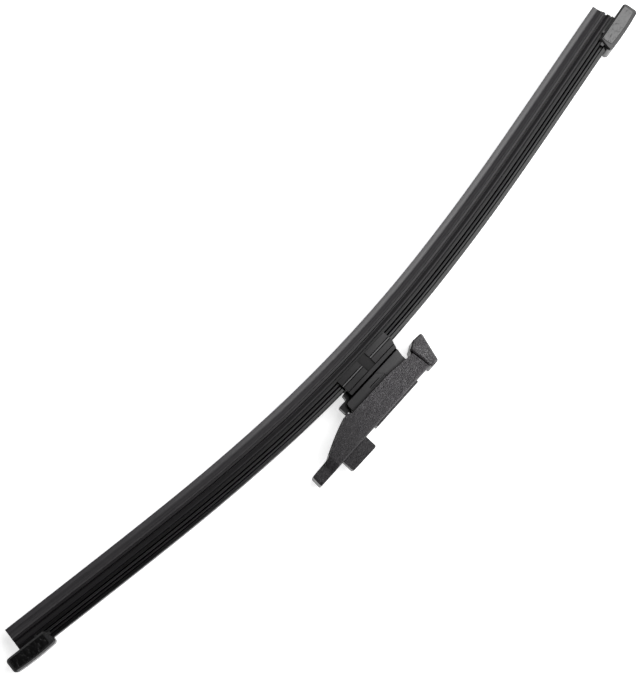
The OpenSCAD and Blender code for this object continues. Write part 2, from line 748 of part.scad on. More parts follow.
// Side outline of the cheeks and the tail
function adapter_outline() =
    let (
        heel = pivot_h - heel_drop, root = roof_at(tail_x) - tail_h,
        end_top = [tail_end, roof_at(tail_end)], end_low = [tail_end - 0.3, root + tail_rise],
        ramp_x = heel_x - heel_edge - heel_ramp,
        steps = 12
    )
    concat(
        [[-cheek_nose - cheek_lean, roof_at(-cheek_nose)], [-cheek_nose, cheek_edge_at(-cheek_nose)]],
        [[-cheek_bend, cheek_edge_at(0)], [ramp_x, cheek_edge_at(ramp_x)]],
        [[heel_x - heel_edge, heel + 0.25]],
        [for (i = [0 : steps]) let (t = i / steps)
            [heel_x + (tail_x - heel_x) * t, belly_at(t, heel, root)]],
        corner([tail_x, root], end_low, end_top, 0.9),
        corner(end_low, end_top, [tail_x, roof_at(tail_x)], 0.6));

// Plan of the adapter: cheeks, then the narrower tail
function adapter_plan() =
    let (
        waist_x = tail_x - 1.2,
        shape = [
            [-cheek_nose - 2 * cheek_lean, cheek_out, 0], [waist_x, cheek_out, 2],
            [waist_x + waist_len, tail_half, 2], [tail_end, tail_half, 0.35]]
    )
    rounded(concat(shape, [for (i = [3 : -1 : 0]) [shape[i][0], -shape[i][1], shape[i][2]]]));

// Roof's cross-section seen along the blade, with both long edges rounded
module roof_section() {
    depth = pivot_h;
    inside = cheek_out - roof_edge;
    translate([-depth, -cheek_out]) square([depth - roof_edge, 2 * cheek_out]);
    translate([-2 * roof_edge, -inside]) square([2 * roof_edge, 2 * inside]);
    for (side = [-1, 1]) translate([-roof_edge, side * inside]) circle(roof_edge, $fn = 64);
}

// Roof, cheeks and tail: the side outline, the roof's section and the plan, hollowed from below
module adapter_shell() {
    reach = 2 * tail_end;
    difference() {
        intersection() {
            both_sides(adapter_outline(), cheek_out);
            translate([0, roof_at(0), 0]) rotate([0, 0, atan(roof_slope)])
                translate([-tail_end, 0, 0]) rotate([90, 0, 90]) linear_extrude(reach) roof_section();
            translate([0, reach, 0]) rotate([90, 0, 0]) linear_extrude(reach) polygon(adapter_plan());
        }
        both_sides([
            [-bulkhead_x, 0], [-bulkhead_x, roof_at(-bulkhead_x) - roof_t],
            [tail_x - 1.6, roof_at(tail_x) - roof_t], [tail_x - 3.6, 0]], cheek_in);
    }
}

// Nose at the front, wider than the cheeks, with a groove between them
module adapter_nose() {
    foot = pivot_h - nose_drop;
    front = cheek_nose + seat_gap;
    top = roof_at(-front) + nose_rise;
    tip = -front - nose_len;
    chamfered(rounded([
        [-front, foot + nose_chin_rise, 0.4], [-front - nose_chin, foot, 0.8],
        [tip, foot + 0.3, 0.9], [tip + nose_rake, top, 1.1], [-front - cheek_lean, top + 0.15, 0.5]]),
        nose_half, nose_chamfer);
    // Bulkhead that joins the nose to the cheeks and closes the front, with a curved chin
    chin_h = cheek_edge_at(-bulkhead_x) + 0.3;
    both_sides(concat(
        [[-front - 1.5, top - nose_rise], [-bulkhead_x, roof_at(-bulkhead_x) - 0.5]],
        [for (a = [0 : 15 : 75]) [-bulkhead_x - chin_r * sin(a), chin_h - chin_r * (1 - cos(a))]],
        [[-front - 1.5, foot + 1.2]]), cheek_in + 0.4);
}

// Block on the roof between two places, with its upper corners rounded
module roof_block(from, to, rise, end_rise, half, r) {
    sunk = roof_t / 2;
    both_sides(rounded([
        [from, roof_at(from) - sunk, 0], [from, roof_at(from) + rise, r],
        [to, roof_at(to) + end_rise, r], [to, roof_at(to) - sunk, 0]]), half);
}

// Clip round the pin, hung from the roof, with cross ribs on both sides of it
module pin_clip() {
    stem = pin_r + 0.6;
    translate([0, pivot_h, 0]) cylinder(r = hub_r, h = 2 * hub_half, center = true, $fn = 64);
    both_sides([
        [-stem, pivot_h], [stem, pivot_h], [stem + 0.6, roof_at(0) - roof_t / 2],
        [-stem - 0.6, roof_at(0) - roof_t / 2]], hub_half);
    for (x = [-cheek_nose + 5.2, heel_x - 5.8]) {
        low = roof_at(x) - roof_t - rib_h;
        both_sides([
            [x - rib_t / 2, low], [x + rib_t / 2, low], [x + rib_t / 2, roof_at(x) - roof_t / 2],
            [x - rib_t / 2, roof_at(x) - roof_t / 2]], cheek_in + cheek_t / 4);
    }
}

// Bore of the clip, and the mouth that snaps over the pin
module pin_room() {
    mouth = hub_mouth * pin_r;
    translate([0, pivot_h, -hub_half - 1])
        cylinder(r = pin_r + pin_run, h = 2 * hub_half + 2, $fn = 64);
    both_sides([
        [-mouth, pivot_h], [mouth, pivot_h],
        [pin_r + 0.6, pivot_h - hub_r - 0.5], [-pin_r - 0.6, pivot_h - hub_r - 0.5]], hub_half + 0.5);
}

// Groove on both sides of the tail, beside the bead at its end
module tail_groove() {
    for (side = [-1, 1]) mirror([0, 0, side > 0 ? 0 : 1])
        translate([tail_end - tail_bead - bead_groove, roof_at(tail_end) - 2 * tail_h, tail_half - bead_t])
            cube([bead_groove, 3 * tail_h, cheek_out]);
}

// Slits that free the latch block's tongue on three sides
module tongue_slits() {
    half = latch_half + 0.4;
    low = roof_at(tongue_x) - roof_t - 1;
    depth = roof_t + 3;
    for (side = [-1, 1]) mirror([0, 0, side > 0 ? 0 : 1])
        translate([tongue_x, low, half]) cube([latch_len + tongue_past + 1.4, depth, slit_w]);
    translate([tongue_x, low, -half - slit_w]) cube([slit_w, depth, 2 * (half + slit_w)]);
}

module arm_adapter() {
    color(grained_black) in_frame() {
        difference() {
            union() {
                adapter_shell();
                adapter_nose();
                pin_clip();
                // Raised plate on the roof
                roof_block(plate_x, plate_x + plate_len, plate_t, plate_t, plate_half, 0.3);
            }
            pin_room();
            tongue_slits();
            tail_groove();
        }
        // Latch block, level on the sloping roof
        roof_block(latch_x, latch_x + latch_len, latch_h, latch_h - roof_slope * latch_len, latch_half, 0.9);
    }
}

wiper_rubber();
spring_rail(-1);  // spring_rail_lower
spring_rail(1);  // spring_rail_upper
back_strip(-half_len + strip_in, -strip_end(base_nose));  // back_strip_nose_side
back_strip(strip_end(base_tail), half_len - strip_in);  // back_strip_tail_side
end_cap_at(-1);  // end_cap_nose_side
end_cap_at(1);  // end_cap_tail_side
clamp_base();
pivot_pin();
arm_adapter();
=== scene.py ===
"""Looks of a rear wiper blade: its fine meshes, finishes, studio and camera.

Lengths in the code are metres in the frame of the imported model, and sizes given in millimetres are
multiplied by MM. The blade lies on its side: X runs along it towards the end where the arm comes
from, Y points away from the glass, towards the arm, and Z is the blade's width.
"""

import logging
import math
from dataclasses import dataclass, field, replace
from enum import Enum

import bmesh
import bpy
from mathutils import Matrix, Vector


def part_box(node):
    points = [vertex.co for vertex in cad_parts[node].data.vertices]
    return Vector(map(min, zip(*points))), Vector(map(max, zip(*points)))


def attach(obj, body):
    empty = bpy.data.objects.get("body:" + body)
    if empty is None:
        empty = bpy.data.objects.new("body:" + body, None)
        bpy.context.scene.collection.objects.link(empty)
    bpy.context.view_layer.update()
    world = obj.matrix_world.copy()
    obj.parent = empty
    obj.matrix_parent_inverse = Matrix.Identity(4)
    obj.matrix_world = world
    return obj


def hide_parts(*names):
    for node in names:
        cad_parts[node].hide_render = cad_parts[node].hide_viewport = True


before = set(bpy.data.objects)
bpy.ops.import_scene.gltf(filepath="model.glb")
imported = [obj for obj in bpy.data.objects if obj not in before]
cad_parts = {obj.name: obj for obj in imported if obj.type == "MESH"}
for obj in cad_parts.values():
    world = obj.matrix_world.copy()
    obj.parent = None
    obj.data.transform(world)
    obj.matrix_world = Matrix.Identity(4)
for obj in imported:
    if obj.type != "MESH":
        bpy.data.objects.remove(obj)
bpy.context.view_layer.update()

MM = 0.001
IMAGE_WIDTH = 640
IMAGE_HEIGHT = 678
MIDDLE_HEIGHT = sum(corner.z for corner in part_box("wiper_rubber")) / 2

Point = tuple[float, float]
Corner = tuple[float, float, float]
Colour = tuple[float, float, float]
Socket = bpy.types.NodeSocket

# Scales of the noises, in cycles per metre along each axis
DIE_LINES_ALONG = 9.0
RUBBER_HAZE = (120.0, 600.0, 1.0)
RUBBER_PORES = (7000.0, 7000.0, 1.0)
DUST_SPECKS = (2600.0, 2600.0, 1.0)
FLOW_WAVES = (90.0, 160.0, 160.0)
SPARK_WAVES = (110.0, 110.0, 110.0)
ROLLING_LINES_ALONG = 20.0
COATING_HAZE = (300.0, 900.0, 1.0)
RINGS_ROUND = 300.0

# Spans of a noise that are stretched to the whole of its effect
SPECK_SPAN = (0.72, 0.78)
PEBBLE_SPAN = (0.35, 0.65)
ROUGHNESS_SPAN = (0.2, 0.8)

# Other values of the finishes, where FULL_SHINE is the level that leaves the reflection as it is
ROUGHNESS_SWING = 0.07
# Painted shade in crevices: the share of colour and gloss left in the deepest ones, and the rays used to
# find them
CREVICE_SHADE_SHARE = 0.12
CREVICE_SAMPLES = 8
PLASTIC_IOR = 1.5
FULL_SHINE = 0.5
WHITE = (1.0, 1.0, 1.0, 1.0)

# Angles in degrees, and limits below which two points or two directions count as one
FLAT_ANGLE = 0.6
SHARP_ANGLE = 32
WELD_DISTANCE = 0.002 * MM
TINY = 1e-9
NEARLY_STRAIGHT = 1e-3

log = logging.getLogger("wiper_blade")


class Grain(Enum):
    """Ways in which a surface of the blade was made."""

    EXTRUDED = "drawn through a die, with fine lines along the blade"
    MOULDED = "moulded in a polished tool with a fine haze"
    SPARKED = "moulded in a spark-eroded tool, with a pebbled grain"
    COATED = "thin baked coating on rolled steel"
    GROUND = "ground steel with fine rings round its axis"


class Shader:
    """A material under construction, with short ways to add and join nodes."""

    def __init__(self, name: str) -> None:
        """Starts a material that holds one Principled surface.

        Args:
            name: Name of the material.
        """
        self.material = bpy.data.materials.new(name)
        self.material.use_nodes = True
        self.tree = self.material.node_tree
        self.tree.nodes.clear()
        self.output = self.node("ShaderNodeOutputMaterial")
        self.surface = self.node("ShaderNodeBsdfPrincipled")
        self.tree.links.new(self.surface.outputs["BSDF"], self.output.inputs["Surface"])

    def node(self, kind: str, **settings: object) -> bpy.types.Node:
        """Adds a node and sets its own properties.

        Args:
            kind: Blender's name for the kind of node.
            settings: Properties of the node and their values.

        Returns:
            The new node.
        """
        made = self.tree.nodes.new(kind)
        for name, value in settings.items():
            setattr(made, name, value)
        return made

    def feed(self, socket: Socket, value: object) -> None:
        """Links a socket to another one, or sets its constant.

        Args:
            socket: The input to feed.
            value: An output socket, or the constant.
        """
        if isinstance(value, Socket):
            self.tree.links.new(value, socket)
        else:
            socket.default_value = value

    def math(self, operation: str, first: object, second: object = 0.0) -> Socket:
        """Adds a Math node.

        Args:
            operation: Blender's name for the operation.
            first: First operand, a socket or a number.
            second: Second operand, a socket or a number.

        Returns:
            The result's socket.
        """
        made = self.node("ShaderNodeMath", operation=operation)
        self.feed(made.inputs[0], first)
        self.feed(made.inputs[1], second)
        return made.outputs[0]

    def blend(self, first: Socket, first_share: float, second: Socket, second_share: float) -> Socket:
        """Adds two values, each with its own weight.

        Args:
            first: The first value.
            first_share: Its weight.
            second: The second value.
            second_share: Its weight.

        Returns:
            The sum's socket.
        """
        return self.math("ADD", self.math("MULTIPLY", first, first_share),
                         self.math("MULTIPLY", second, second_share))

    def spread(self, value: object, low: float, high: float, to: tuple[object, object]) -> Socket:
        """Maps a value from one span smoothly onto another.

        Args:
            value: The socket to map.
            low: Value that gives the first end of the new span.
            high: Value that gives the second end.
            to: Both ends of the new span, each a socket or a number.

        Returns:
            The mapped value's socket.
        """
        made = self.node("ShaderNodeMapRange", interpolation_type="SMOOTHSTEP")
        self.feed(made.inputs["Value"], value)
        made.inputs["From Min"].default_value = low
        made.inputs["From Max"].default_value = high
        self.feed(made.inputs["To Min"], to[0])
        self.feed(made.inputs["To Max"], to[1])
        return made.outputs["Result"]

    def place(self, scale: Colour, from_uv: bool = False) -> Socket:
        """Gives the surface's own coordinates, stretched.

        Args:
            scale: Factor for each axis, in cycles per metre.
            from_uv: True for the piece's UV map, False for its place in the frame.

        Returns:
            The coordinates' socket.
        """
        source = self.node("ShaderNodeTexCoord")
        made = self.node("ShaderNodeMapping")
        self.feed(made.inputs["Vector"], source.outputs["UV" if from_uv else "Object"])
        made.inputs["Scale"].default_value = scale
        return made.outputs["Vector"]

    def noise(self, at: Socket, detail: float = 2.0, rough: float = 0.5) -> Socket:
        """Adds a noise texture that is read at the given coordinates.

        Args:
            at: The coordinates.
            detail: Number of finer octaves.
            rough: Weight of the finer octaves.

        Returns:
            The noise's value socket.
        """
        made = self.node("ShaderNodeTexNoise")
        self.feed(made.inputs["Vector"], at)
        made.inputs["Scale"].default_value = 1.0
        made.inputs["Detail"].default_value = detail
        made.inputs["Roughness"].default_value = rough
        return made.outputs["Fac"]

    def tint(self, share: Socket, dark: Colour, light: Colour) -> Socket:
        """Mixes two colours.

        Args:
            share: Share of the light colour.
            dark: Colour at zero.
            light: Colour at one.

        Returns:
            The colour's socket.
        """
        made = self.node("ShaderNodeMix", data_type="RGBA")
        self.feed(made.inputs["Factor"], share)
        made.inputs["A"].default_value = (*dark, 1.0)
        made.inputs["B"].default_value = (*light, 1.0)
        return made.outputs["Result"]

    def scaled(self, colour: Socket, factor: object) -> Socket:
        """Multiplies a colour.

        Args:
            colour: The colour's socket.
            factor: What it is multiplied by, a socket or a number.

        Returns:
            The new colour's socket.
        """
        made = self.node("ShaderNodeVectorMath", operation="SCALE")
        self.feed(made.inputs[0], colour)
        self.feed(made.inputs["Scale"], factor)
        return made.outputs[0]

    def axes(self, from_uv: bool = False) -> bpy.types.NodeOutputs:
        """Splits the surface's own coordinates.

        Args:
            from_uv: True for the piece's UV map, False for its place in the frame.

        Returns:
            The outputs X, Y and Z.
        """
        made = self.node("ShaderNodeSeparateXYZ")
        self.feed(made.inputs[0], self.place((1, 1, 1), from_uv))
        return made.outputs

    def bump(self, height: Socket, depth: float, strength: float = 1.0,
             under: Socket | None = None) -> Socket:
        """Turns a height into a normal.

        Args:
            height: Height from 0 to 1.
            depth: What 1 stands for, in metres.
            strength: Share of the effect that is used.
            under: Normal of a coarser layer below it.

        Returns:
            The normal's socket.
        """
        made = self.node("ShaderNodeBump")
        made.inputs["Strength"].default_value = strength
        made.inputs["Distance"].default_value = depth
        self.feed(made.inputs["Height"], height)
        if under is not None:
            self.feed(made.inputs["Normal"], under)
        return made.outputs["Normal"]


def lighter(colour: Colour, factor: float) -> Colour:
    """Returns a colour with each channel times a factor."""
    return tuple(channel * factor for channel in colour)


@dataclass(frozen=True)
class LightShadeBand:
    """Painted light and shade on a surface from one place on, as shares of the finish's own colour and
    gloss.

    The place is the way across the section of an extrusion, and the distance from the blade's middle
    plane on a moulding, whose sunken parts are painted darker as shade and raised parts lighter as light.
    """

    start: float
    tone: float
    shine: float
    fade: float = 0.2 * MM


@dataclass(frozen=True)
class LightFalloff:
    """Stretch along the blade over which painted shade darkens a surface's colour and gloss as the light
    falls off, and the share that is left at its end.
    """

    start: float
    end: float
    share: float


@dataclass(frozen=True)
class Finish:
    """The surface of one material of the blade."""

    name: str
    slot: str
    grain: Grain
    colour: Colour
    roughness: float
    depth: float = 0.02 * MM
    pitch: float = 0.3 * MM
    shine: float = 1.0
    # Painted light and shade by place across the section or by depth
    light_shade_bands: tuple[LightShadeBand, ...] = ()
    # Painted shade in crevices: how far it reaches, none at zero, and the span of occlusion over which it
    # fades in
    crevice_shade_reach: float = 0.0
    crevice_shade_span: Point = (0.45, 0.92)
    # Painted falloff of light along the blade, or none
    light_falloff: LightFalloff | None = None

    def material(self) -> bpy.types.Material:
        """Builds the material for this finish.

        Returns:
            The material.
        """
        shader = Shader(self.name)
        shader.surface.inputs["IOR"].default_value = PLASTIC_IOR
        {
            Grain.EXTRUDED: self._extruded,
            Grain.MOULDED: self._moulded,
            Grain.SPARKED: self._sparked,
            Grain.COATED: self._coated,
            Grain.GROUND: self._ground,
        }[self.grain](shader)
        return shader.material

    def _finish(self, shader: Shader, tone: Socket, shine: Socket,
                normal: Socket, spread: float = 0.25) -> None:
        """Feeds colour, gloss, roughness and normal to the surface, with painted shade in crevices, painted
        light and shade by place across the section or by depth, and painted falloff of light along the
        blade.

        Args:
            shader: The material under construction.
            tone: Share of the lighter colour.
            shine: Change of the roughness, from 0 to 1.
            normal: The bumped normal.
            spread: How far the colour varies to each side.
        """
        inputs = shader.surface.inputs
        colour = shader.tint(tone, lighter(self.colour, 1 - spread), lighter(self.colour, 1 + spread))
        gloss: object = FULL_SHINE * self.shine
        left_after_crevice_shade: object = 1.0
        # Painted shade: colour and gloss darken in narrow crevices, from ambient occlusion
        if self.crevice_shade_reach > 0:
            left_after_crevice_shade = self._painted_crevice_shade(shader)
            colour = shader.scaled(colour, left_after_crevice_shade)
        # Painted light and shade: parts of the surface are made lighter or darker, with their gloss
        if self.light_shade_bands:
            share, gloss = self._painted_bands_across(shader, gloss)
            colour = shader.scaled(colour, share)
        # Painted falloff of light: colour and gloss darken along the blade towards its tail end
        if self.light_falloff is not None:
            place = shader.axes()["X"]
            share = shader.spread(place, self.light_falloff.start, self.light_falloff.end, (1.0, self.light_falloff.share))
            colour = shader.scaled(colour, share)
            gloss = shader.math("MULTIPLY", gloss, share)
        smooth = self.roughness - ROUGHNESS_SWING
        rough = self.roughness + ROUGHNESS_SWING
        shader.feed(inputs["Base Color"], colour)
        shader.feed(inputs["Specular IOR Level"], shader.math("MULTIPLY", gloss, left_after_crevice_shade))
        shader.feed(inputs["Roughness"], shader.spread(shine, *ROUGHNESS_SPAN, (smooth, rough)))
        shader.feed(inputs["Normal"], normal)

    def _painted_crevice_shade(self, shader: Shader) -> Socket:
        """Adds nodes that paint shade into narrow crevices, from ambient occlusion.

        Args:
            shader: The material under construction.

        Returns:
            A socket that is 1 on open faces and falls towards the crevices.
        """
        near = shader.node("ShaderNodeAmbientOcclusion", samples=CREVICE_SAMPLES)
        near.inputs["Distance"].default_value = self.crevice_shade_reach
        return shader.spread(near.outputs["AO"], *self.crevice_shade_span, (CREVICE_SHADE_SHARE, 1.0))

    def _painted_bands_across(self, shader: Shader, gloss: object) -> tuple[object, object]:
        """Adds the painted light and shade of each band, one after the other.

        Args:
            shader: The material under construction.
            gloss: The gloss before the first band.

        Returns:
            The colour's share and the gloss.
        """
        drawn = self.grain is Grain.EXTRUDED
        way = shader.axes(from_uv=drawn)["Y" if drawn else "Z"]
        if not drawn:
            way = shader.math("ABSOLUTE", shader.math("SUBTRACT", way, MIDDLE_HEIGHT))
        share: object = 1.0
        for band in self.light_shade_bands:
            span = (band.start, band.start + band.fade)
            share = shader.spread(way, *span, (share, band.tone))
            gloss = shader.spread(way, *span, (gloss, FULL_SHINE * self.shine * band.shine))
        return share, gloss

    def _extruded(self, shader: Shader) -> None:
        """Adds fine die lines along the blade, with a haze and specks of dust.

        Args:
            shader: The material under construction.
        """
        along = shader.noise(shader.place((DIE_LINES_ALONG, 1 / self.pitch, 1), from_uv=True),
                             detail=3.0, rough=0.6)
        haze = shader.noise(shader.place(RUBBER_HAZE, from_uv=True), detail=4.0, rough=0.6)
        pores = shader.noise(shader.place(RUBBER_PORES, from_uv=True), detail=1.0)
        dust = shader.noise(shader.place(DUST_SPECKS, from_uv=True), detail=1.0)
        specks = shader.spread(dust, *SPECK_SPAN, (0, 1))
        tone = shader.blend(haze, 0.8, specks, 0.6)
        shine = shader.blend(along, 0.5, haze, 0.5)
        lines = shader.bump(along, self.depth)
        self._finish(shader, tone, shine, shader.bump(pores, self.depth / 4, 0.7, lines))

    def _moulded(self, shader: Shader) -> None:
        """Adds a fine haze over long, shallow flow waves.

        Args:
            shader: The material under construction.
        """
        fine = shader.noise(shader.place((1 / self.pitch,) * 3), detail=3.0, rough=0.6)
        waves = shader.noise(shader.place(FLOW_WAVES), detail=3.0)
        self._finish(shader, shader.blend(fine, 0.4, waves, 0.6), waves, shader.bump(fine, self.depth))

    def _sparked(self, shader: Shader) -> None:
        """Adds pebbles of a spark-eroded tool, with finer pits between them.

        Args:
            shader: The material under construction.
        """
        rounds = shader.noise(shader.place((1 / self.pitch,) * 3), rough=0.55)
        pebbles = shader.spread(rounds, *PEBBLE_SPAN, (0, 1))
        pits = shader.noise(shader.place((3 / self.pitch,) * 3), rough=0.6)
        waves = shader.noise(shader.place(SPARK_WAVES))
        coarse = shader.bump(pebbles, self.depth)
        normal = shader.bump(pits, self.depth / 4, 0.8, coarse)
        self._finish(shader, shader.blend(pebbles, 0.8, waves, 0.2), pits, normal, 0.6)

    def _coated(self, shader: Shader) -> None:
        """Adds rolling lines that show faintly through the coating.

        Args:
            shader: The material under construction.
        """
        lines = shader.noise(shader.place((ROLLING_LINES_ALONG, 1 / self.pitch, 1), from_uv=True))
        haze = shader.noise(shader.place(COATING_HAZE, from_uv=True), detail=3.0)
        self._finish(shader, haze, lines, shader.bump(lines, self.depth))

    def _ground(self, shader: Shader) -> None:
        """Adds fine rings of a ground pin.

        Args:
            shader: The material under construction.
        """
        rings = shader.noise(shader.place((RINGS_ROUND, RINGS_ROUND, 1 / self.pitch)))
        shader.surface.inputs["Metallic"].default_value = 1.0
        self._finish(shader, rings, rings, shader.bump(rings, self.depth), 0.1)


@dataclass(frozen=True)
class Palette:
    """Every finish of the blade, with its painted light and shade in crevices, across sections and along
    the blade.
    """

    rubber: Finish = Finish(
        "wiping_rubber", "wiping_rubber", Grain.EXTRUDED, (0.047, 0.0437, 0.0478), 0.30,
        depth=0.007 * MM, pitch=0.16 * MM, light_falloff=LightFalloff(0.0, 110 * MM, 0.8),
        # Painted shade that deepens from the lip towards the key, as the levels of the section catch less
        # light
        light_shade_bands=(LightShadeBand(2.05 * MM, 0.72, 0.9), LightShadeBand(5.35 * MM, 0.34, 0.40), LightShadeBand(8.6 * MM, 0.32, 0.33),
               LightShadeBand(14.9 * MM, 0.09, 0.36), LightShadeBand(22.5 * MM, 0.12, 0.62)))
    strip: Finish = Finish(
        "back_strip", "back_strip", Grain.EXTRUDED, (0.007, 0.007, 0.0073), 0.24,
        depth=0.006 * MM, pitch=0.2 * MM, shine=0.62, light_falloff=LightFalloff(-10 * MM, 150 * MM, 0.45))
    rail: Finish = Finish(
        "rail_steel", "rail_steel", Grain.COATED, (0.008, 0.008, 0.0084), 0.32,
        depth=0.004 * MM, pitch=0.15 * MM, shine=0.3)
    cap: Finish = Finish(
        "cap_plastic", "cap_plastic", Grain.MOULDED, (0.008, 0.008, 0.0084), 0.30,
        depth=0.010 * MM, pitch=0.25 * MM, shine=0.8, crevice_shade_reach=0.6 * MM)
    panel: Finish = Finish(
        "cap_panel_plastic", "cap_plastic", Grain.SPARKED, (0.007, 0.007, 0.0074), 0.20,
        depth=0.075 * MM, pitch=1.9 * MM, shine=1.2, light_falloff=LightFalloff(-100 * MM, 100 * MM, 0.4))
    # Painted shade: a near-black material for the narrow grooves of the base
    groove_shade: Finish = Finish(
        "base_groove_painted_shade", "base_plastic", Grain.MOULDED, (0.002, 0.002, 0.0021), 0.60,
        depth=0.004 * MM, pitch=0.25 * MM, shine=0.1)
    base: Finish = Finish(
        "base_plastic", "base_plastic", Grain.MOULDED, (0.0145, 0.0136, 0.0148), 0.38,
        depth=0.012 * MM, pitch=0.22 * MM, shine=0.5, crevice_shade_reach=2.2 * MM,
        light_falloff=LightFalloff(-24 * MM, 18 * MM, 0.5),
        # Painted shade near black on the sunken levels, and painted light on the raised ones
        light_shade_bands=(LightShadeBand(3.3 * MM, 0.1, 0.05), LightShadeBand(5.2 * MM, 1.7, 1.4, 0.1 * MM),
               LightShadeBand(5.96 * MM, 0.9, 0.7, 0.01 * MM), LightShadeBand(6.2 * MM, 1.1, 1.1, 0.1 * MM)))
    # Painted highlight: a lighter, glossier material on the ridge between two grooves of the base
    rib_highlight: Finish = Finish(
        "base_rib_painted_highlight", "base_plastic", Grain.MOULDED, (0.026, 0.026, 0.027), 0.34,
        depth=0.008 * MM, pitch=0.22 * MM, shine=0.9)
    adapter: Finish = Finish(
        "adapter_plastic", "adapter_plastic", Grain.SPARKED, (0.0276, 0.0243, 0.0280), 0.33,
        depth=0.14 * MM, pitch=0.45 * MM, shine=1.25, crevice_shade_reach=0.8 * MM, crevice_shade_span=(0.2, 0.75),
        light_falloff=LightFalloff(-4 * MM, 38 * MM, 0.53),
        # Painted shadow line in a narrow span of depth, at a groove of the moulding, then more gloss on the
        # nose
        light_shade_bands=(LightShadeBand(6.3 * MM, 0.15, 0.15, 0.05 * MM), LightShadeBand(6.55 * MM, 1.0, 1.0, 0.1 * MM),
               LightShadeBand(7.8 * MM, 1.0, 1.4)))
    # The adapter's finish past the waist, without painted shadow lines and with shorter painted crevice
    # shade
    tail: Finish = replace(adapter, name="adapter_tail_plastic", light_shade_bands=(), crevice_shade_reach=0.3 * MM)
    pin: Finish = Finish(
        "pin_steel", "pin_steel", Grain.GROUND, (0.55, 0.55, 0.56), 0.3,
        depth=0.003 * MM, pitch=0.1 * MM)


class Tree:
    """A Geometry Nodes tree under construction."""

    def __init__(self, name: str) -> None:
        """Starts a tree with a geometry input and a geometry output.

        Args:
            name: Name of the tree.
        """
        self.group = bpy.data.node_groups.new(name, "GeometryNodeTree")
        self.sockets: dict[str, str] = {}
        self.group.interface.new_socket("Geometry", in_out="INPUT", socket_type="NodeSocketGeometry")
        self.group.interface.new_socket("Geometry", in_out="OUTPUT", socket_type="NodeSocketGeometry")
        self.source = self.group.nodes.new("NodeGroupInput")
        self.result = self.group.nodes.new("NodeGroupOutput")

    def size(self, name: str, kind: str = "NodeSocketFloat") -> Socket:
        """Adds a named input.

        Args:
            name: Name of the input.
            kind: Blender's name for the kind of socket.

        Returns:
            The input's socket inside the tree.
        """
        made = self.group.interface.new_socket(name, in_out="INPUT", socket_type=kind)
        self.sockets[name] = made.identifier
        return self.source.outputs[name]

    def node(self, kind: str, feeds: dict[str | int, object] | None = None,
             **settings: object) -> bpy.types.Node:
        """Adds a node, sets its properties and feeds its inputs.

        Args:
            kind: Blender's name for the kind of node.
            feeds: Sockets or constants for the node's inputs.
            settings: Properties of the node and their values.

        Returns:
            The new node.
        """
        made = self.group.nodes.new(kind)
        for name, value in settings.items():
            setattr(made, name, value)
        for key, value in (feeds or {}).items():
            if isinstance(value, Socket):
                self.group.links.new(value, made.inputs[key])
            else:
                made.inputs[key].default_value = value
        return made

    def math(self, operation: str, first: object, second: object = 0.0) -> Socket:
        """Adds a Math node and returns its result."""
        return self.node("ShaderNodeMath", {0: first, 1: second}, operation=operation).outputs[0]


@dataclass(frozen=True)
class Run:
    """One run of the bow, with its radius and length."""

    radius: float
    length: float


